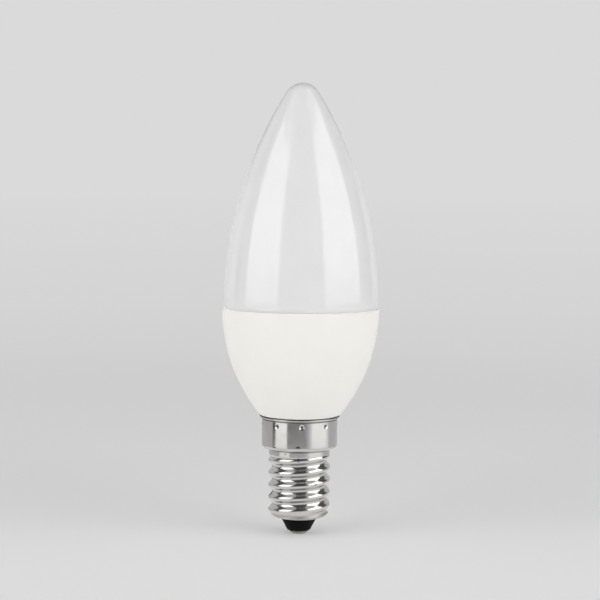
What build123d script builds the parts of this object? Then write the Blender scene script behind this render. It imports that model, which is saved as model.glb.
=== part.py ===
from build123d import *

import os
from math import acos, asin, atan2, cos, degrees, radians, sin

# A mains LED candle lamp. It stands on its centre contact: the origin is the middle of the contact's
# face, +Z runs up the axis to the tip of the cover, and -Y faces the viewer. All sizes are millimetres.

# Candle outline
overall_length = 101.4
rim_height = 51.2
rim_radius = 17.65
cover_inset = 0.3
nose_radius = 4.2
edge_roll_height = 1.2
edge_roll_depth = 0.35

# Opal cover
cover_wall = 1.2
collar_depth = 3.0
collar_wall = 1.0

# Housing
housing_wall = 1.5
rim_wall = 1.0
rim_chamfer = 0.2
foot_chamfer = 0.2
spigot_wall = 1.6
spigot_gap = 0.9
slot_depth = 0.6
slot_stop = 1.0

# Screw cap, with the thread sizes of an E14 cap
thread_major = 13.89
thread_minor = 12.29
thread_pitch = 2.822
crest_height = 6.93
run_out_base = 16.8
run_out_top = 18.3
neck_radius = 6.85
shoulder_height = 19.6
shoulder_round = 1.0
skirt_radius = 8.5
lip_height = 27.1
lip_radius = 9.0
lip_thickness = 0.6
sheet = 0.3
shell_foot = 3.8
foot_round = 2.8
foot_flat_radius = 4.5
mouth_radius = 4.2

# Crimp dents, pressed into the skirt with blunt round points
crimp_count = 9
crimp_turn = -86.5
crimp_height = 25.3
crimp_depth = 0.22
crimp_radius = 0.65
crimp_tip_radius = 0.15

# Insulator and contact
contact_height = 0.84
contact_radius = 2.05
contact_flat_radius = 1.1
contact_edge = 0.3
insulator_foot_radius = 2.7
insulator_foot_chamfer = 0.2
insulator_plug = 2.0
shank_radius = 0.9
shank_stand = 0.6

# LED board
led_board_thickness = 1.0
led_count = 8
led_ring_radius = 9.5
led_length = 3.5
led_width = 2.8
led_height = 0.7
led_frame = 0.35
led_recess = 0.1

# Driver board and the pins that carry its current up to the LED board
driver_thickness = 1.0
driver_gap = 1.0
driver_corner = 1.0
pin_spacing = 6.0
pin_width = 0.8
pin_thickness = 0.5
pin_overlap = 3.0
pin_stand = 0.6

# Parts soldered to the driver board: rises count from the board's foot, and drops from its top
chip_rise = 4.0
chip_length = 4.9
chip_width = 3.9
chip_thickness = 1.4
chip_lead_pairs = 4
rectifier_rise = 4.0
rectifier_length = 4.8
rectifier_width = 3.9
rectifier_thickness = 1.3
rectifier_lead_pairs = 2
lead_reach = 0.9
lead_width = 0.45
lead_thickness = 0.2
choke_drop = 9.2
choke_width = 6.8
choke_thickness = 4.2
choke_corner = 1.2
capacitor_drop = 6.7
capacitor_radius = 3.15
capacitor_length = 8.0
capacitor_chamfer = 0.35

# Fusible resistor on the axis and the wire to the shell
fuse_radius = 1.3
fuse_length = 6.4
fuse_lead_radius = 0.3
shell_lead_radius = 0.35
shell_lead_offset = 3.6

# Clearances
press_fit = 0.05
slide_fit = 0.1
seat_gap = 0.2

# Cover and LED board seats
cover_radius = rim_radius - cover_inset
ogive_base = rim_height + edge_roll_height
nose_height = overall_length - nose_radius
ogive_rise = nose_height - ogive_base
ogive_radius = (cover_radius**2 + ogive_rise**2 - nose_radius**2) / (2 * (cover_radius - nose_radius))
ogive_angle = degrees(atan2(ogive_rise, ogive_radius - cover_radius))
edge_roll_radius = (edge_roll_height**2 + edge_roll_depth**2) / (2 * edge_roll_depth)
edge_roll_angle = degrees(asin(edge_roll_height / edge_roll_radius))
socket_radius = rim_radius - rim_wall
collar_radius = socket_radius - press_fit
collar_bore = collar_radius - collar_wall
led_board_top = rim_height - collar_depth - seat_gap
ledge_height = led_board_top - led_board_thickness

# Housing bowl: one arc, upright at the rim, that meets the top of the cap's lip
bowl_drop = rim_height - lip_height
bowl_inset = rim_radius - lip_radius
bowl_radius = (bowl_drop**2 + bowl_inset**2) / (2 * bowl_inset)
bowl_centre = rim_radius - bowl_radius
bowl_angle = degrees(asin(bowl_drop / bowl_radius))
bowl_inner_radius = bowl_radius - housing_wall
spigot_radius = skirt_radius - sheet - press_fit
spigot_bore = spigot_radius - spigot_wall
spigot_foot = shoulder_height + sheet + spigot_gap
bore_angle = degrees(acos((spigot_bore - bowl_centre) / bowl_inner_radius))
bore_top = rim_height - bowl_inner_radius * sin(radians(bore_angle))
ledge_angle = degrees(asin((rim_height - ledge_height) / bowl_inner_radius))
ledge_radius = bowl_centre + bowl_inner_radius * cos(radians(ledge_angle))

# Thread: its level section is a circle set off the axis by half the thread's depth. The helix that carries
# it starts two turns below the first full crest on the +X side, and the foot trims the surplus
crest_radius = thread_major / 2
root_radius = thread_minor / 2
thread_offset = (crest_radius - root_radius) / 2
thread_circle = (crest_radius + root_radius) / 2
thread_start = crest_height - 2 * thread_pitch
thread_length = run_out_top - thread_start

# Rounds and inside of the screw shell
foot_centre = (foot_flat_radius, shell_foot + foot_round)
shoulder_centre = (skirt_radius - shoulder_round, shoulder_height + shoulder_round)
lip_bead = lip_thickness / 2
lip_centre = (lip_radius - lip_bead, lip_height - lip_bead)
shell_floor = shell_foot + sheet
shell_bore = root_radius - sheet
foot_corner = shell_bore - foot_flat_radius

# Heights of the inner parts
insulator_top = shell_floor + insulator_plug
shank_top = insulator_top + shank_stand
driver_foot = spigot_foot + slot_stop
driver_top = ledge_height - driver_gap
driver_half_width = spigot_bore + slot_depth - slide_fit
driver_front = Plane(origin=(0, -driver_thickness / 2, 0), x_dir=(1, 0, 0), z_dir=(0, -1, 0))
driver_back = Plane(origin=(0, driver_thickness / 2, 0), x_dir=(-1, 0, 0), z_dir=(0, 1, 0))
pin_depth = -(driver_thickness + pin_thickness) / 2


def draw_ogive(inset):
    """Long arc of the candle wall and the rounded nose above it, moved inwards by inset."""
    CenterArc((cover_radius - ogive_radius, ogive_base), ogive_radius - inset, 0, ogive_angle)
    CenterArc((0, nose_height), nose_radius - inset, ogive_angle, 90 - ogive_angle)


# Diffuser cover: an opal ogive with a collar that sits in the housing's rim
with BuildPart() as diffuser_cover:
    with BuildSketch(Plane.XZ):
        with BuildLine():
            CenterArc((cover_radius - edge_roll_radius, ogive_base), edge_roll_radius, 0, -edge_roll_angle)
            draw_ogive(0)
            Line((0, overall_length), (0, overall_length - cover_wall))
            draw_ogive(cover_wall)
            Polyline(
                (cover_radius - cover_wall, ogive_base),
                (collar_bore, rim_height),
                (collar_bore, rim_height - collar_depth),
                (collar_radius, rim_height - collar_depth),
                (collar_radius, rim_height),
                (cover_radius - edge_roll_depth, rim_height),
            )
        make_face()
    revolve(axis=Axis.Z)
diffuser_cover.part.label = "diffuser_cover"

# Housing: a bowl with a socket for the cover, a ledge for the LED board, and a spigot for the cap
with BuildPart() as housing:
    with BuildSketch(Plane.XZ):
        with BuildLine():
            CenterArc((bowl_centre, rim_height), bowl_radius, 0, -bowl_angle)
            Polyline(
                (lip_radius, lip_height),
                (spigot_radius, lip_height),
                (spigot_radius, spigot_foot),
                (spigot_bore, spigot_foot),
                (spigot_bore, bore_top),
            )
            CenterArc((bowl_centre, rim_height), bowl_inner_radius, -bore_angle, bore_angle - ledge_angle)
            Polyline(
                (ledge_radius, ledge_height),
                (socket_radius, ledge_height),
                (socket_radius, rim_height),
                (rim_radius, rim_height),
            )
        make_face()
    revolve(axis=Axis.Z)
    rim_edges = housing.edges().filter_by(GeomType.CIRCLE).group_by(Axis.Z)[-1]
    chamfer(rim_edges.sort_by(SortBy.RADIUS)[-1], length=rim_chamfer)
    foot_edges = housing.edges().filter_by(GeomType.CIRCLE)
    foot_edges = foot_edges.filter_by_position(Axis.Z, lip_height - press_fit, lip_height + press_fit)
    chamfer(foot_edges.sort_by(SortBy.RADIUS)[-1], length=foot_chamfer)
    with BuildSketch(Plane.XY.offset(driver_foot)):
        Rectangle(2 * (driver_half_width + slide_fit), driver_thickness + 2 * slide_fit)
    extrude(amount=ledge_height - driver_foot, mode=Mode.SUBTRACT)
housing.part.label = "housing"

# Screw shell: the thread is a circle carried level up a small helix, the foot is rounded off, and the
# grooves run out into the neck below a skirt with a rolled lip
with BuildPart() as screw_shell:
    with BuildLine():
        thread_path = Helix(thread_pitch, thread_length, thread_offset, center=(0, 0, thread_start))
    with BuildSketch(Plane.XY.offset(thread_start)):
        with Locations((thread_offset, 0)):
            Circle(thread_circle)
    sweep(path=thread_path, normal=(0, 0, 1))
    with BuildSketch(Plane.XZ):
        with BuildLine():
            CenterArc(foot_centre, foot_round, -90, 90)
            Polyline(
                (foot_flat_radius + foot_round, shell_foot + foot_round),
                (foot_flat_radius + foot_round, run_out_base),
                (neck_radius - press_fit, run_out_top),
                (0, run_out_top),
                (0, shell_foot),
                (foot_flat_radius, shell_foot),
            )
        make_face()
    revolve(axis=Axis.Z, mode=Mode.INTERSECT)
    with BuildSketch(Plane.XZ):
        with BuildLine():
            CenterArc(shoulder_centre, shoulder_round, -90, 90)
            Polyline(
                (skirt_radius, shoulder_height + shoulder_round),
                (skirt_radius, lip_height - lip_thickness),
                (lip_radius - lip_bead, lip_height - lip_thickness),
            )
            CenterArc(lip_centre, lip_bead, -90, 180)
            Polyline(
                (lip_radius - lip_bead, lip_height),
                (0, lip_height),
                (0, run_out_base),
                (root_radius - press_fit, run_out_base),
                (neck_radius, run_out_top),
                (neck_radius, shoulder_height),
                (skirt_radius - shoulder_round, shoulder_height),
            )
        make_face()
    revolve(axis=Axis.Z)
    with PolarLocations(skirt_radius - crimp_depth, crimp_count, crimp_turn):
        with Locations((0, 0, crimp_height)):
            Cone(
                crimp_tip_radius,
                2 * crimp_radius - crimp_tip_radius,
                2 * crimp_depth,
                rotation=(0, 90, 0),
                align=(Align.CENTER, Align.CENTER, Align.MIN),
                mode=Mode.SUBTRACT,
            )
    with BuildSketch(Plane.XZ):
        Polygon(
            (0, shell_foot - sheet),
            (mouth_radius, shell_foot - sheet),
            (mouth_radius, shell_floor),
            (foot_flat_radius, shell_floor),
            (shell_bore, shell_floor + foot_corner),
            (shell_bore, run_out_base),
            (neck_radius - sheet, run_out_top),
            (neck_radius - sheet, shoulder_height + sheet),
            (skirt_radius - shoulder_round, shoulder_height + sheet),
            (skirt_radius - sheet, shoulder_height + shoulder_round),
            (skirt_radius - sheet, lip_height + sheet),
            (0, lip_height + sheet),
            align=None,
        )
    revolve(axis=Axis.Z, mode=Mode.SUBTRACT)
screw_shell.part.label = "screw_shell"

# Base insulator: a cone below the cap's mouth and a plug that sits on the cap's floor
with BuildPart() as base_insulator:
    with BuildSketch(Plane.XZ):
        Polygon(
            (shank_radius + press_fit, contact_height),
            (insulator_foot_radius - insulator_foot_chamfer, contact_height),
            (insulator_foot_radius, contact_height + insulator_foot_chamfer),
            (mouth_radius - press_fit, shell_foot),
            (mouth_radius - press_fit, shell_floor),
            (foot_flat_radius - press_fit, shell_floor),
            (shell_bore - press_fit, shell_floor + foot_corner),
            (shell_bore - press_fit, insulator_top),
            (shank_radius + press_fit, insulator_top),
            align=None,
        )
    revolve(axis=Axis.Z)
base_insulator.part.label = "base_insulator"

# Centre contact: a low domed head and a shank through the insulator
with BuildPart() as centre_contact:
    with BuildSketch(Plane.XZ):
        with BuildLine():
            TangentArc(
                (contact_flat_radius, 0), (contact_radius, contact_height - contact_edge), tangent=(1, 0)
            )
            Polyline(
                (contact_radius, contact_height - contact_edge),
                (contact_radius, contact_height),
                (shank_radius, contact_height),
                (shank_radius, shank_top),
                (0, shank_top),
                (0, 0),
                (contact_flat_radius, 0),
            )
        make_face()
    revolve(axis=Axis.Z)
centre_contact.part.label = "centre_contact"

# LED board: an aluminium disc on the housing's ledge, with slots for the driver's pins
with BuildPart() as led_board:
    with BuildSketch(Plane.XY.offset(ledge_height)):
        Circle(collar_radius)
        with Locations((-pin_spacing / 2, pin_depth), (pin_spacing / 2, pin_depth)):
            Rectangle(pin_width + 2 * slide_fit, pin_thickness + 2 * slide_fit, mode=Mode.SUBTRACT)
    extrude(amount=led_board_thickness)
led_board.part.label = "led_board"

# LEDs: packages with a sunk window, in a ring on the board
leds = []
for index in range(led_count):
    led_turn = 360 * (index + 0.5) / led_count
    led_place = Plane.XY.rotated((0, 0, led_turn)).offset(led_board_top)
    with BuildPart() as led:
        with BuildSketch(led_place):
            with Locations((led_ring_radius, 0)):
                Rectangle(led_width, led_length)
        extrude(amount=led_height)
        with BuildSketch(led_place.offset(led_height)):
            with Locations((led_ring_radius, 0)):
                Rectangle(led_width - 2 * led_frame, led_length - 2 * led_frame)
        extrude(amount=-led_recess, mode=Mode.SUBTRACT)
    led.part.label = f"led_{index + 1}"
    leds.append(led)

# Driver board: stands on the ends of the two slots in the spigot
with BuildPart() as driver_board:
    with BuildSketch(driver_front) as driver_outline:
        with Locations((0, (driver_foot + driver_top) / 2)):
            Rectangle(2 * driver_half_width, driver_top - driver_foot)
        chamfer(driver_outline.vertices().group_by(Axis.Z)[0], length=driver_corner)
    extrude(amount=-driver_thickness)
driver_board.part.label = "driver_board"

# Board pins: flat strips soldered to the driver board, up through the LED board
board_pins = []
for side, name in ((-1, "board_pin_left"), (1, "board_pin_right")):
    with BuildPart() as board_pin:
        with BuildSketch(Plane.XY.offset(driver_top - pin_overlap)):
            with Locations((side * pin_spacing / 2, pin_depth)):
                Rectangle(pin_width, pin_thickness)
        extrude(amount=led_board_top + pin_stand - driver_top + pin_overlap)
    board_pin.part.label = name
    board_pins.append(board_pin)

# Flat packages: a moulded body and straight leads that lie on the board
packages = []
for name, face, rise, length, width, thickness, pairs in (
    ("driver_chip", driver_back, chip_rise, chip_length, chip_width, chip_thickness, chip_lead_pairs),
    (
        "bridge_rectifier",
        driver_front,
        rectifier_rise,
        rectifier_length,
        rectifier_width,
        rectifier_thickness,
        rectifier_lead_pairs,
    ),
):
    with BuildPart() as package:
        with BuildSketch(face):
            with Locations((0, driver_foot + rise)):
                Rectangle(width, length)
        extrude(amount=thickness)
        with BuildSketch(face):
            with Locations((0, driver_foot + rise)):
                with GridLocations(0, length / pairs, 1, pairs):
                    Rectangle(width + 2 * lead_reach, lead_width)
        extrude(amount=lead_thickness)
    package.part.label = name
    packages.append(package)

# Choke: a shielded square block on the front of the driver board
with BuildPart() as choke:
    with BuildSketch(driver_front) as choke_outline:
        with Locations((0, driver_top - choke_drop)):
            Rectangle(choke_width, choke_width)
        chamfer(choke_outline.vertices(), length=choke_corner)
    extrude(amount=choke_thickness)
choke.part.label = "choke"

# Filter capacitor: a can that stands on the back of the driver board
with BuildPart() as filter_capacitor:
    with BuildSketch(driver_back):
        with Locations((0, driver_top - capacitor_drop)):
            Circle(capacitor_radius)
    extrude(amount=capacitor_length)
    chamfer(filter_capacitor.faces().sort_by(Axis.Y)[-1].edges(), length=capacitor_chamfer)
filter_capacitor.part.label = "filter_capacitor"

# Fusible resistor: an axial part between the contact's shank and the foot of the driver board
fuse_foot = (shank_top + driver_foot - fuse_length) / 2
with BuildPart() as fuse_resistor:
    with BuildSketch(Plane.XZ):
        Polygon(
            (0, shank_top),
            (fuse_lead_radius, shank_top),
            (fuse_lead_radius, fuse_foot),
            (fuse_radius, fuse_foot),
            (fuse_radius, fuse_foot + fuse_length),
            (fuse_lead_radius, fuse_foot + fuse_length),
            (fuse_lead_radius, driver_foot),
            (0, driver_foot),
            align=None,
        )
    revolve(axis=Axis.Z)
fuse_resistor.part.label = "fuse_resistor"

# Shell lead: slants from the foot of the driver board down to the wall of the cap's neck
shell_lead_foot = (run_out_top + shoulder_height) / 2
shell_lead_reach = neck_radius - sheet - shell_lead_radius - press_fit
shell_lead_run = Vector(shell_lead_reach - shell_lead_offset, 0, shell_lead_foot - driver_foot)
with BuildPart() as shell_lead:
    with BuildSketch(Plane.XY.offset(driver_foot)):
        with Locations((shell_lead_offset, 0)):
            Circle(shell_lead_radius)
    extrude(amount=shell_lead_run.length, dir=shell_lead_run)
shell_lead.part.label = "shell_lead"

os.makedirs("parts", exist_ok=True)
pieces = [diffuser_cover, housing, screw_shell, base_insulator, centre_contact, led_board, driver_board]
pieces += [choke, filter_capacitor, fuse_resistor, shell_lead]
for piece in pieces + leds + board_pins + packages:
    export_step(piece.part, f"parts/{piece.part.label}.step")
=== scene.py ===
import math

import bpy
from mathutils import Matrix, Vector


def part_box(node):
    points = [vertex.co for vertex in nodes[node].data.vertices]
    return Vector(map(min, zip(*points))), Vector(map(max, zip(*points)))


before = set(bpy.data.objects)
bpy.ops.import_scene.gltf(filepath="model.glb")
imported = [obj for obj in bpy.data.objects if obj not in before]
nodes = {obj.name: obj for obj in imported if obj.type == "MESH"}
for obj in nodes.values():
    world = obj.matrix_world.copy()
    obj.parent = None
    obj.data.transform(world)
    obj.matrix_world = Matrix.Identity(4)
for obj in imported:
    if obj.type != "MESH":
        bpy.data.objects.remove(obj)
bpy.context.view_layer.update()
scene = bpy.context.scene
MM = 0.001


# Node helpers

def new_material(name, shader_type="ShaderNodeBsdfPrincipled"):
    """A material of one shader, with its tree and that shader."""
    material = bpy.data.materials.new(name)
    material.use_nodes = True
    tree = material.node_tree
    tree.nodes.clear()
    output = tree.nodes.new("ShaderNodeOutputMaterial")
    shader = tree.nodes.new(shader_type)
    tree.links.new(shader.outputs[0], output.inputs["Surface"])
    return material, tree, shader


def wire(tree, node, values):
    """Give the node's inputs, in their order, a link or a constant each."""
    for socket, value in zip(node.inputs, values):
        if isinstance(value, bpy.types.NodeSocket):
            tree.links.new(value, socket)
        else:
            socket.default_value = value


def calculate(tree, operation, *values):
    node = tree.nodes.new("ShaderNodeMath")
    node.operation = operation
    wire(tree, node, values)
    return node.outputs["Value"]


def calculate_vector(tree, operation, *values):
    node = tree.nodes.new("ShaderNodeVectorMath")
    node.operation = operation
    wire(tree, node, values)
    return node.outputs["Value" if operation == "LENGTH" else "Vector"]


def greatest(tree, values):
    result, *others = values
    for value in others:
        result = calculate(tree, "MAXIMUM", result, value)
    return result


def value_range(tree, value, low, high, new_low, new_high):
    node = tree.nodes.new("ShaderNodeMapRange")
    wire(tree, node, (value, low, high, new_low, new_high))
    return node.outputs["Result"]


def object_coordinates(tree):
    return tree.nodes.new("ShaderNodeTexCoord").outputs["Object"]


def parted(tree, place):
    node = tree.nodes.new("ShaderNodeSeparateXYZ")
    wire(tree, node, [place])
    return node.outputs


def distance_from(tree, first, second):
    """Length of the two given coordinates."""
    squares = calculate(tree, "MULTIPLY_ADD", first, first, calculate(tree, "MULTIPLY", second, second))
    return calculate(tree, "SQRT", squares)


def level_distance(tree, value, level):
    """How far a value lies from a level, on either side."""
    return calculate(tree, "ABSOLUTE", calculate(tree, "SUBTRACT", value, level))


def noise_texture(tree, place, scale, detail=2.0):
    texture = tree.nodes.new("ShaderNodeTexNoise")
    texture.inputs["Scale"].default_value = scale
    texture.inputs["Detail"].default_value = detail
    tree.links.new(place, texture.inputs["Vector"])
    return texture.outputs


def ramp(tree, factor, stops):
    node = tree.nodes.new("ShaderNodeValToRGB")
    elements = node.color_ramp.elements
    while len(elements) < len(stops):
        elements.new(0.5)
    for element, (position, colour) in zip(elements, stops):
        element.position = position
        element.color = (*colour, 1.0)
    tree.links.new(factor, node.inputs["Fac"])
    return node.outputs["Color"]


MIX_TYPES = {"Color": "RGBA", "Float": "FLOAT"}


def mixed(tree, kind, factor, first, second):
    """The first value where the factor is 0 and the constant second where it is 1."""
    node = tree.nodes.new("ShaderNodeMix")
    node.data_type = MIX_TYPES[kind]
    sockets = {socket.identifier: socket for socket in (*node.inputs, *node.outputs)}
    tree.links.new(factor, sockets["Factor_Float"])
    tree.links.new(first, sockets["A_" + kind])
    sockets["B_" + kind].default_value = second
    return sockets["Result_" + kind]


def mixed_shader(tree, factor, first, second):
    node = tree.nodes.new("ShaderNodeMixShader")
    wire(tree, node, (factor, first, second))
    return node.outputs["Shader"]


def seen_rays(tree):
    """1 for a ray that shows a thing, straight, mirrored or through another, and 0 for one that lights it."""
    rays = tree.nodes.new("ShaderNodeLightPath").outputs
    return greatest(tree, [rays[f"Is {kind} Ray"] for kind in ("Camera", "Glossy", "Transmission")])


def grey(value):
    return (value, value, value)


# Materials

# Scales of the drift in colour and in gloss, and the part of the noise's range that is used
COLOUR_DRIFT = 180.0
GLOSS_DRIFT = 420.0
DRIFT_DETAIL = 3.0
NOISE_LOW = 0.3
NOISE_HIGH = 0.7


def surface(name, colours, roughness, spread, grain, depth, **sockets):
    """A moulded, plated or coated surface: colour and roughness drift a little, and a fine grain marks it."""
    material, tree, shader = new_material(name)
    place = object_coordinates(tree)
    drift = noise_texture(tree, place, COLOUR_DRIFT, DRIFT_DETAIL)["Fac"]
    colour = ramp(tree, drift, list(zip((NOISE_LOW, NOISE_HIGH), colours)))
    tree.links.new(colour, shader.inputs["Base Color"])
    gloss = noise_texture(tree, place, GLOSS_DRIFT, DRIFT_DETAIL)["Fac"]
    rough = value_range(tree, gloss, NOISE_LOW, NOISE_HIGH, roughness - spread, roughness + spread)
    tree.links.new(rough, shader.inputs["Roughness"])
    bump = tree.nodes.new("ShaderNodeBump")
    bump.inputs["Strength"].default_value = 1.0
    bump.inputs["Distance"].default_value = depth
    tree.links.new(noise_texture(tree, place, grain)["Fac"], bump.inputs["Height"])
    tree.links.new(bump.outputs["Normal"], shader.inputs["Normal"])
    for socket, value in sockets.items():
        shader.inputs[socket.replace("_", " ")].default_value = value
    return material


def overlay(material, mask, colour, roughness=None, metallic=None):
    """Lay a second colour, and if given another roughness and metal, over a surface where the mask is 1."""
    tree = material.node_tree
    inputs = tree.nodes["Principled BSDF"].inputs
    base = inputs["Base Color"]
    tree.links.new(mixed(tree, "Color", mask, base.links[0].from_socket, (*colour, 1.0)), base)
    if roughness is not None:
        rough = inputs["Roughness"]
        tree.links.new(mixed(tree, "Float", mask, rough.links[0].from_socket, roughness), rough)
    if metallic is not None:
        tree.links.new(calculate(tree, "MULTIPLY", mask, metallic), inputs["Metallic"])


opal = surface(
    "opal_cover", (grey(0.80), grey(0.82)), roughness=0.42, spread=0.03, grain=1500.0, depth=0.002 * MM,
    Coat_Weight=1.0, Coat_Roughness=0.012, Coat_IOR=1.58, Specular_IOR_Level=0.2,
    Subsurface_Weight=0.3, Subsurface_Scale=3.0 * MM, Subsurface_Radius=grey(1.0),
)
white = surface(
    "white_housing", ((0.92, 0.91, 0.875), (0.935, 0.925, 0.89)),
    roughness=0.38, spread=0.04, grain=2600.0, depth=0.006 * MM,
    Specular_IOR_Level=0.45, Diffuse_Roughness=1.0, Sheen_Weight=0.5, Sheen_Roughness=0.25,
)
nickel = surface(
    "nickel_cap", ((0.62, 0.61, 0.585), (0.68, 0.67, 0.65)),
    roughness=0.15, spread=0.04, grain=300.0, depth=0.012 * MM, Metallic=1.0,
)
black = surface(
    "black_insulator", (grey(0.003), grey(0.007)),
    roughness=0.55, spread=0.06, grain=2200.0, depth=0.01 * MM, Specular_IOR_Level=0.04,
)
# The contact's colour is kept dark all over: painted shade for the shadow at its foot by the floor
contact_metal = surface(
    "contact_metal", ((0.15, 0.146, 0.14), (0.27, 0.263, 0.25)),
    roughness=0.34, spread=0.08, grain=1200.0, depth=0.01 * MM, Metallic=1.0,
)
white_board = surface(
    "white_board", (grey(0.82), grey(0.86)), roughness=0.45, spread=0.05, grain=1500.0, depth=0.004 * MM,
)
led_package = surface(
    "led_package", (grey(0.80), grey(0.86)), roughness=0.4, spread=0.05, grain=2500.0, depth=0.004 * MM,
)
green_board = surface(
    "green_board", ((0.04, 0.17, 0.07), (0.06, 0.22, 0.09)),
    roughness=0.35, spread=0.06, grain=1800.0, depth=0.004 * MM,
)
tinned = surface(
    "tinned_metal", (grey(0.62), grey(0.72)),
    roughness=0.28, spread=0.08, grain=1500.0, depth=0.006 * MM, Metallic=1.0,
)
package = surface(
    "black_package", (grey(0.02), grey(0.035)), roughness=0.55, spread=0.06, grain=3000.0, depth=0.008 * MM,
)
ferrite = surface(
    "grey_ferrite", (grey(0.06), grey(0.10)), roughness=0.65, spread=0.06, grain=2600.0, depth=0.012 * MM,
)
sleeve = surface(
    "dark_sleeve", ((0.015, 0.018, 0.04), (0.025, 0.03, 0.06)),
    roughness=0.3, spread=0.05, grain=900.0, depth=0.006 * MM,
)
resistor = surface(
    "grey_resistor", ((0.22, 0.29, 0.27), (0.28, 0.35, 0.32)),
    roughness=0.5, spread=0.06, grain=2200.0, depth=0.01 * MM,
)


# Painted shade, nicks and wear on the plated cap

# One dark colour for the painted shade in the punch marks, creases and lip edge, and for the nicks
SHADE_AND_SOIL_COLOUR = (0.03, 0.03, 0.028)
RUBBED_COLOUR = (0.52, 0.515, 0.50)
WORN_ROUGHNESS = 0.5
CRIMP_COUNT = 9
CRIMP_TURN = math.radians(-86.5)
CRIMP_HEIGHT = 25.3 * MM
SKIRT_RADIUS = 8.5 * MM
# Painted shade in the punch marks: distances from a mark's middle where it is full and where it is gone, and
# its strength
CRIMP_SHADE = (0.14 * MM, 0.46 * MM, 0.95)
# The same for the painted shade in each crease, after its height: under the lip and at the top of the neck
CREASE_SHADES = [
    (26.3 * MM, 0.05 * MM, 0.2 * MM, 0.8),
    (19.5 * MM, 0.1 * MM, 0.3 * MM, 0.7),
]
# The painted shade on the lip's edge, where it meets the housing, by how far under its top it starts and is
# full
LIP_SHADE_START = 0.3 * MM
LIP_SHADE_FULL = 0.18 * MM
LIP_SHADE = 0.9
FOOT_TOP = 5.2 * MM
FOOT_FADE = 0.2 * MM
# Azimuth from the viewer's side, radius, height, size and upward stretch of each nick, in degrees and mm; the
# last is no nick but a painted dark spot at the thread root, painted shade
NICKS_AND_SHADE_SPOT = [
    (-2.2, 8.5, 20.85, 0.6, 0.5),
    (-27.0, 6.85, 18.95, 0.34, 0.5),
    (-1.5, 6.9, 17.75, 0.4, 1.6),
    (32.5, 6.9, 12.13, 0.45, 0.5),
    (-78.0, 6.7, 9.45, 1.0, 1.0),
]
NICK_AND_SPOT_DARKNESS = 0.85
NICK_FULL_SHARE = 0.5
NICK_EDGE_SCALE = 2500.0
NICK_EDGE_REACH = 0.5 * MM
VIEWER_AZIMUTH = -90


def faded(tree, distance, full, gone, strength):
    return value_range(tree, distance, full, gone, strength, 0.0)


# Painted shade in the punch marks, darkest in their middles
def crimp_shade(tree, x, y, z):
    turn = calculate(tree, "SUBTRACT", calculate(tree, "ARCTAN2", y, x), CRIMP_TURN)
    half = math.pi / CRIMP_COUNT
    across = calculate(tree, "MULTIPLY", calculate(tree, "WRAP", turn, half, -half), SKIRT_RADIUS)
    along = calculate(tree, "SUBTRACT", z, CRIMP_HEIGHT)
    return faded(tree, distance_from(tree, across, along), *CRIMP_SHADE)


# Painted shade along the lip's top edge, in the crease under the housing
def lip_shade(tree, z):
    lip_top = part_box("screw_shell")[1].z
    return value_range(tree, z, lip_top - LIP_SHADE_START, lip_top - LIP_SHADE_FULL, 0.0, LIP_SHADE)


# Dark spots: the nicks in the plating, and one spot of painted shade at the thread root
def nick_and_shade_spot(tree, ragged_place, azimuth, radius, height, size, stretch):
    angle = math.radians(azimuth + VIEWER_AZIMUTH)
    spot = (radius * math.cos(angle), radius * math.sin(angle), height)
    # The noise is about a half, so the marks are moved by half its reach
    middle = [value * MM + 0.5 * NICK_EDGE_REACH for value in spot]
    away = calculate_vector(tree, "SUBTRACT", ragged_place, middle)
    shaped = calculate_vector(tree, "MULTIPLY", away, (1.0, 1.0, 1.0 / stretch))
    length = calculate_vector(tree, "LENGTH", shaped)
    return faded(tree, length, NICK_FULL_SHARE * size * MM, size * MM, NICK_AND_SPOT_DARKNESS)


def shade_and_soil_nickel(material):
    """Painted shade in the cap's punch marks, creases and lip edge, dark nicks and one painted dark spot at
    the thread root, and a rubbed foot.
    """
    tree = material.node_tree
    place = object_coordinates(tree)
    x, y, z = parted(tree, place)
    edge_noise = noise_texture(tree, place, NICK_EDGE_SCALE)["Color"]
    ragged_place = calculate_vector(tree, "MULTIPLY_ADD", edge_noise, grey(NICK_EDGE_REACH), place)
    marks = [crimp_shade(tree, x, y, z), lip_shade(tree, z)]
    # Painted shade in the creases under the lip and at the top of the neck
    marks += [faded(tree, level_distance(tree, z, height), *fade) for height, *fade in CREASE_SHADES]
    marks += [nick_and_shade_spot(tree, ragged_place, *nick) for nick in NICKS_AND_SHADE_SPOT]
    rubbed = faded(tree, z, FOOT_TOP - FOOT_FADE, FOOT_TOP, 1.0)
    overlay(material, rubbed, RUBBED_COLOUR, roughness=WORN_ROUGHNESS)
    # The painted shade and the nicks share one dark colour
    overlay(material, greatest(tree, marks), SHADE_AND_SOIL_COLOUR, roughness=WORN_ROUGHNESS)


# Markings of the pieces inside

LED_COUNT = 8
LED_RECESS = 0.1 * MM
LED_WINDOW_REACH = 0.02 * MM
LED_RING = 9.5 * MM
# Distances from the middle of the copper ring where it is full and where it is gone, and its strength
RING_FADE = (2.3 * MM, 2.5 * MM, 0.5)
TRACK_SCALE = 170.0
TRACK_WIDTH = 0.04
TRACK_STRENGTH = 0.7
PACKAGE_SIDE = 1.97 * MM
CAN_FACE = 2.4 * MM
CAN_FACE_DEPTH = 0.1 * MM
STRIPE_HALF_ANGLE = 0.5
WIRE_RADIUS = 0.35 * MM
LEAD_METAL = {"colour": grey(0.66), "roughness": 0.3, "metallic": 1.0}


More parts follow.
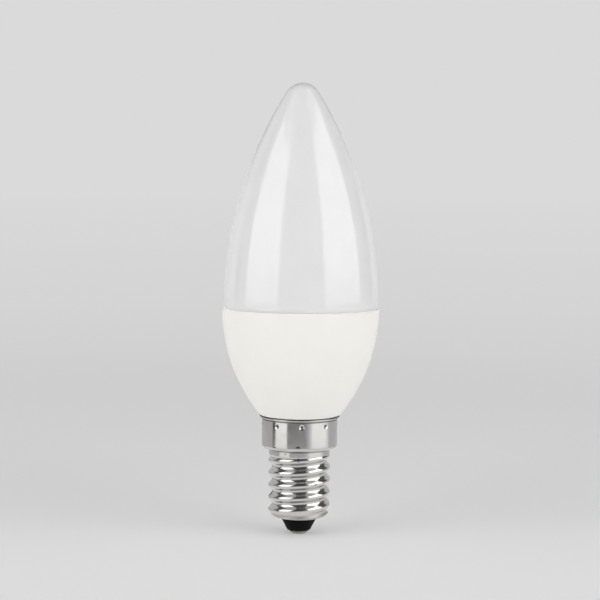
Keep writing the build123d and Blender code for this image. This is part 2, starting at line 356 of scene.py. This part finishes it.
def mark_led(material):
    """The sunk window is yellow and the frame round it white."""
    tree = material.node_tree
    z = parted(tree, object_coordinates(tree))["Z"]
    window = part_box("led_1")[1].z - LED_RECESS
    sunk = calculate(tree, "LESS_THAN", level_distance(tree, z, window), LED_WINDOW_REACH)
    overlay(material, sunk, (0.86, 0.66, 0.16), roughness=0.25)


def mark_led_board(material):
    """The copper ring under the white coat shows a little."""
    tree = material.node_tree
    x, y, _ = parted(tree, object_coordinates(tree))
    away = level_distance(tree, distance_from(tree, x, y), LED_RING)
    overlay(material, faded(tree, away, *RING_FADE), (0.70, 0.71, 0.70))


def mark_driver_board(material):
    """Tracks under the green coat."""
    tree = material.node_tree
    x, _, z = parted(tree, object_coordinates(tree))
    flat = tree.nodes.new("ShaderNodeCombineXYZ")
    wire(tree, flat, (x, z))
    tracks = tree.nodes.new("ShaderNodeTexBrick")
    tracks.inputs["Scale"].default_value = TRACK_SCALE
    tracks.inputs["Mortar Size"].default_value = TRACK_WIDTH
    tree.links.new(flat.outputs["Vector"], tracks.inputs["Vector"])
    overlay(material, calculate(tree, "MULTIPLY", tracks.outputs["Fac"], TRACK_STRENGTH), (0.10, 0.32, 0.12))


def mark_package(material):
    """The leads beside the moulded body are tinned."""
    tree = material.node_tree
    x = parted(tree, object_coordinates(tree))["X"]
    leads = calculate(tree, "GREATER_THAN", calculate(tree, "ABSOLUTE", x), PACKAGE_SIDE)
    overlay(material, leads, **LEAD_METAL)


def mark_capacitor(material):
    """A bare end inside the sleeve's edge, and a pale stripe down one side."""
    tree = material.node_tree
    low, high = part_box("filter_capacitor")
    middle = 0.5 * (low + high)
    x, y, z = parted(tree, object_coordinates(tree))
    x = calculate(tree, "SUBTRACT", x, middle.x)
    z = calculate(tree, "SUBTRACT", z, middle.z)
    side = calculate(tree, "ABSOLUTE", calculate(tree, "ARCTAN2", z, x))
    overlay(material, calculate(tree, "LESS_THAN", side, STRIPE_HALF_ANGLE), (0.36, 0.37, 0.40))
    end = calculate(tree, "GREATER_THAN", y, high.y - CAN_FACE_DEPTH)
    inside = calculate(tree, "LESS_THAN", distance_from(tree, x, z), CAN_FACE)
    overlay(material, calculate(tree, "MULTIPLY", end, inside), grey(0.7), roughness=0.3, metallic=1.0)


def mark_resistor(material):
    """The wires at its ends are tinned."""
    tree = material.node_tree
    x, y, _ = parted(tree, object_coordinates(tree))
    overlay(material, calculate(tree, "LESS_THAN", distance_from(tree, x, y), WIRE_RADIUS), **LEAD_METAL)


shade_and_soil_nickel(nickel)
mark_led(led_package)
mark_led_board(white_board)
mark_driver_board(green_board)
mark_package(package)
mark_capacitor(sleeve)
mark_resistor(resistor)

FINISHES = [
    (opal, ["diffuser_cover"]),
    (white, ["housing"]),
    (nickel, ["screw_shell"]),
    (black, ["base_insulator"]),
    (contact_metal, ["centre_contact"]),
    (white_board, ["led_board"]),
    (led_package, [f"led_{index + 1}" for index in range(LED_COUNT)]),
    (green_board, ["driver_board"]),
    (tinned, ["board_pin_left", "board_pin_right", "shell_lead"]),
    (package, ["driver_chip", "bridge_rectifier"]),
    (ferrite, ["choke"]),
    (sleeve, ["filter_capacitor"]),
    (resistor, ["fuse_resistor"]),
]
for material, names in FINISHES:
    for name in names:
        slots = nodes[name].data.materials
        slots.clear()
        slots.append(material)


# Panels of the studio, in degrees seen from the lamp, where azimuth 0 is the viewer's side and + is right

PANEL_DISTANCE = 0.9
CAP_PANEL_DISTANCE = 0.12
DARK_STRIP_DISTANCE = 0.1
PANEL_EYE = 0.05
PANEL_STEPS = 16
ROUND_STEPS = 32
# Elevations between which a panel's light grows
GLOW_LOW = -9
GLOW_HIGH = 12


def panel_height(elevation, away=PANEL_DISTANCE):
    return PANEL_EYE + away * math.tan(math.radians(elevation))


def emitter(name, low, high):
    """Light that grows from low to high over the lowest part of the panel."""
    material, tree, glow = new_material(name, "ShaderNodeEmission")
    z = parted(tree, object_coordinates(tree))["Z"]
    radiance = value_range(tree, z, panel_height(GLOW_LOW), panel_height(GLOW_HIGH), low, high)
    tree.links.new(radiance, glow.inputs["Strength"])
    return material


def card(name, points, faces, low, high, seen_by):
    mesh = bpy.data.meshes.new(name)
    mesh.from_pydata(points, [], faces)
    mesh.materials.append(emitter(name, low, high))
    sheet = bpy.data.objects.new(name, mesh)
    scene.collection.objects.link(sheet)
    sheet.visible_camera = False
    sheet.visible_shadow = False
    sheet.visible_transmission = False
    sheet.visible_diffuse = seen_by == "diffuse"
    sheet.visible_glossy = seen_by == "glossy"


def panel(name, azimuths, elevations, low, high, seen_by="glossy", away=PANEL_DISTANCE):
    """A panel between two azimuths round the lamp. Elevations are of its foot and of its top at each end."""
    points = []
    for step in range(PANEL_STEPS + 1):
        azimuth = math.radians(azimuths[0] + (azimuths[1] - azimuths[0]) * step / PANEL_STEPS)
        x, y = away * math.sin(azimuth), -away * math.cos(azimuth)
        top = elevations[1] + (elevations[-1] - elevations[1]) * step / PANEL_STEPS
        points += [(x, y, panel_height(elevations[0], away)), (x, y, panel_height(top, away))]
    faces = [(foot, foot + 1, foot + 3, foot + 2) for foot in range(0, 2 * PANEL_STEPS, 2)]
    card(name, points, faces, low, high, seen_by)


def level_card(name, height, radiance):
    points = []
    for step in range(ROUND_STEPS):
        angle = math.tau * step / ROUND_STEPS
        points.append((PANEL_DISTANCE * math.cos(angle), PANEL_DISTANCE * math.sin(angle), height))
    card(name, points, [tuple(range(ROUND_STEPS))], radiance, radiance, "glossy")


LEFT_BOX = (-88, -33)
FRONT = (-33, 35)
RIGHT_BOX = (35, 97)
LEFT_FLAG = (-115, -88)
RIGHT_FLAG = (97, 131)
FLOOR_LINE = -3.3
FLOOR_NEAR = -20
ROOM_TOP = 75
FLAG_TOP = 60
BACK_LOW = 12
BACK_HIGH = 34

# What the glossy and plated surfaces mirror: a softbox at each side, a dark room between them, a pale floor
# Azimuths, elevations, and radiance low and high up
MIRRORED = [
    ("left_softbox", LEFT_BOX, (FLOOR_LINE, 45, 55), 1.2, 2.1),
    ("left_top", LEFT_BOX, (45, ROOM_TOP), 0.5, 0.5),
    ("right_softbox", RIGHT_BOX, (FLOOR_LINE, 50, 53), 1.2, 2.1),
    ("right_top", RIGHT_BOX, (51, ROOM_TOP), 0.5, 0.5),
    ("front_card", FRONT, (FLOOR_LINE, ROOM_TOP), 0.07, 0.07),
    ("left_flag", LEFT_FLAG, (FLOOR_LINE, FLAG_TOP), 0.09, 0.09),
    ("left_flag_top", LEFT_FLAG, (FLAG_TOP, ROOM_TOP), 0.2, 0.2),
    ("right_flag", RIGHT_FLAG, (FLOOR_LINE, FLAG_TOP), 0.09, 0.09),
    ("right_flag_top", RIGHT_FLAG, (FLAG_TOP, ROOM_TOP), 0.2, 0.2),
    ("left_back", (-147, -115), (BACK_LOW, BACK_HIGH), 0.6, 0.6),
    ("right_back", (131, 147), (BACK_LOW, BACK_HIGH), 0.6, 0.6),
    ("back_card", (147, 213), (BACK_LOW, BACK_HIGH), 0.2, 0.2),
    ("back_top", (131, 245), (BACK_HIGH, ROOM_TOP), 0.2, 0.2),
    ("far_floor", (-115, 115), (FLOOR_NEAR, FLOOR_LINE), 0.4, 0.4),
    ("far_floor_back", (115, 245), (FLOOR_NEAR, FLOOR_LINE), 0.66, 0.66),
]
for row in MIRRORED:
    panel(*row)
level_card("ceiling", panel_height(ROOM_TOP), 0.2)
level_card("mirrored_floor", panel_height(FLOOR_NEAR), 0.8)

LOW_TOP = -9.5
SIDE_LOW = -21.5
FRONT_LOW = -22
FRONT_FOOT = -24.6
UNDER = -33

# What only the cap mirrors: the lit and the dark parts of the floor near it, too low for the cover
# Azimuths, elevations and radiance
CAP_MIRRORED = [
    ("left_low", (-75, -37), (SIDE_LOW, LOW_TOP), 1.2),
    ("left_back_low", (-180, -84), (UNDER, LOW_TOP), 0.52),
    ("front_low", (-37, 19.4), (FRONT_LOW, LOW_TOP), 0.26),
    ("front_low_2", (19.4, 25.2), (FRONT_LOW, LOW_TOP), 0.4),
    ("front_low_3", (25.2, 31), (FRONT_LOW, LOW_TOP), 0.6),
    ("front_low_4", (31, 36.8), (FRONT_LOW, LOW_TOP), 0.85),
    ("right_low", (36.8, 87.3), (SIDE_LOW, LOW_TOP), 1.15),
    ("right_low_2", (87.3, 97), (UNDER, LOW_TOP), 0.85),
    ("right_back_low", (97, 180), (UNDER, LOW_TOP), 0.56),
    ("left_foot", (-84, -37), (UNDER, SIDE_LOW), 0.92),
    ("front_foot", (-37, 36.8), (FRONT_FOOT, FRONT_LOW), 0.7),
    ("front_under", (-37, 25), (UNDER, FRONT_FOOT), 0.3),
    ("front_under_2", (25, 36.8), (UNDER, FRONT_FOOT), 0.6),
    ("right_foot", (36.8, 87.3), (UNDER, SIDE_LOW), 0.92),
]
for name, azimuths, elevations, radiance in CAP_MIRRORED:
    panel(name, azimuths, elevations, radiance, radiance, away=CAP_PANEL_DISTANCE)
panel("dark_strip", (-86, -78), (-24.2, -9.1), 0.03, 0.03, away=DARK_STRIP_DISTANCE)
panel("dark_strip_under", (-90, -76), (-38.7, -27), 0.1, 0.1, away=DARK_STRIP_DISTANCE)

# What lights the matt surfaces and draws the soft shadows
panel("left_lamp", (-82, -30), (-3, 34), 2.76, 2.76, "diffuse")
panel("right_lamp", (31, 85), (-3, 37), 2.62, 2.62, "diffuse")


# Floor: pale and matt, it fades into the background and can be looked through from below

BACKGROUND = 0.70
FLOOR_HALF = 6.0
FLOOR_LIFT = 0.15
# Places in front of and behind the lamp between which the floor's colour changes, and its colours there:
# painted shade, a little darker behind the lamp than in front
FLOOR_TONES = (-0.04, 0.03)
FLOOR_COLOURS = [(0.0, grey(0.84)), (1.0, grey(0.80))]
# Distances from the lamp between which the lit floor turns into the glow of the far floor
FADE_START = 0.12
FADE_END = 0.4
# The far floor's glow at shares of its reach
FAR_REACH = 4.0
FAR_TONES = [(0.06, grey(0.624)), (0.17, grey(0.66)), (0.38, grey(0.68)), (1.0, grey(BACKGROUND))]


def floor_material():
    material, tree, shader = new_material("floor")
    place = object_coordinates(tree)
    y = parted(tree, place)["Y"]
    distance = calculate_vector(tree, "LENGTH", place)
    tone = ramp(tree, value_range(tree, y, *FLOOR_TONES, 0.0, 1.0), FLOOR_COLOURS)
    tree.links.new(tone, shader.inputs["Base Color"])
    shader.inputs["Roughness"].default_value = 0.6
    shader.inputs["Specular IOR Level"].default_value = 0.0
    shader.inputs["Emission Color"].default_value = (*grey(1.0), 1.0)
    lift = calculate(tree, "MULTIPLY", seen_rays(tree), FLOOR_LIFT)
    tree.links.new(lift, shader.inputs["Emission Strength"])
    far_glow = tree.nodes.new("ShaderNodeEmission")
    far_tone = ramp(tree, value_range(tree, distance, 0.0, FAR_REACH, 0.0, 1.0), FAR_TONES)
    tree.links.new(far_tone, far_glow.inputs["Color"])
    fade = value_range(tree, distance, FADE_START, FADE_END, 0.0, 1.0)
    above = mixed_shader(tree, fade, shader.outputs["BSDF"], far_glow.outputs["Emission"])
    backfacing = tree.nodes.new("ShaderNodeNewGeometry").outputs["Backfacing"]
    clear = tree.nodes.new("ShaderNodeBsdfTransparent").outputs["BSDF"]
    both_sides = mixed_shader(tree, backfacing, above, clear)
    tree.links.new(both_sides, tree.nodes["Material Output"].inputs["Surface"])
    return material


floor_corners = [(FLOOR_HALF * x, FLOOR_HALF * y, 0) for x, y in ((-1, -1), (1, -1), (1, 1), (-1, 1))]
floor_mesh = bpy.data.meshes.new("floor")
floor_mesh.from_pydata(floor_corners, [], [(0, 1, 2, 3)])
floor_mesh.materials.append(floor_material())
floor = bpy.data.objects.new("floor", floor_mesh)
scene.collection.objects.link(floor)
floor.visible_glossy = False


# World: an even background where it is seen, and a fill that is strongest at the horizon where it lights

FILL_HORIZON = 1.38
FILL_OVERHEAD = 0.1

world = bpy.data.worlds.new("studio")
scene.world = world
world.use_nodes = True
tree = world.node_tree
tree.nodes.clear()
seen = tree.nodes.new("ShaderNodeBackground")
seen.inputs["Color"].default_value = (*grey(BACKGROUND), 1.0)
fill = tree.nodes.new("ShaderNodeBackground")
upward = parted(tree, tree.nodes.new("ShaderNodeTexCoord").outputs["Generated"])["Z"]
tree.links.new(value_range(tree, upward, 0.0, 1.0, FILL_HORIZON, FILL_OVERHEAD), fill.inputs["Strength"])
sky = mixed_shader(tree, seen_rays(tree), fill.outputs["Background"], seen.outputs["Background"])
tree.links.new(sky, tree.nodes.new("ShaderNodeOutputWorld").inputs["Surface"])


# Camera: above the middle of the lamp, tipped down and turned a little

IMAGE_PIXELS = 600
FOCAL_PIXELS = 1787
SENSOR_WIDTH = 36.0
CAMERA_PLACE = (-0.00018, -0.400, 0.0838)
CAMERA_TILT = 4.41
CAMERA_ROLL = 0.55

camera_data = bpy.data.cameras.new("camera")
camera_data.sensor_width = SENSOR_WIDTH
camera_data.lens = SENSOR_WIDTH * FOCAL_PIXELS / IMAGE_PIXELS
camera_data.clip_start = 0.01
camera_data.clip_end = 20.0
camera = bpy.data.objects.new("camera", camera_data)
scene.collection.objects.link(camera)
camera.matrix_world = (
    Matrix.Translation(CAMERA_PLACE)
    @ Matrix.Rotation(math.radians(90 - CAMERA_TILT), 4, "X")
    @ Matrix.Rotation(math.radians(CAMERA_ROLL), 4, "Z")
)
scene.camera = camera

scene.view_settings.view_transform = "Standard"
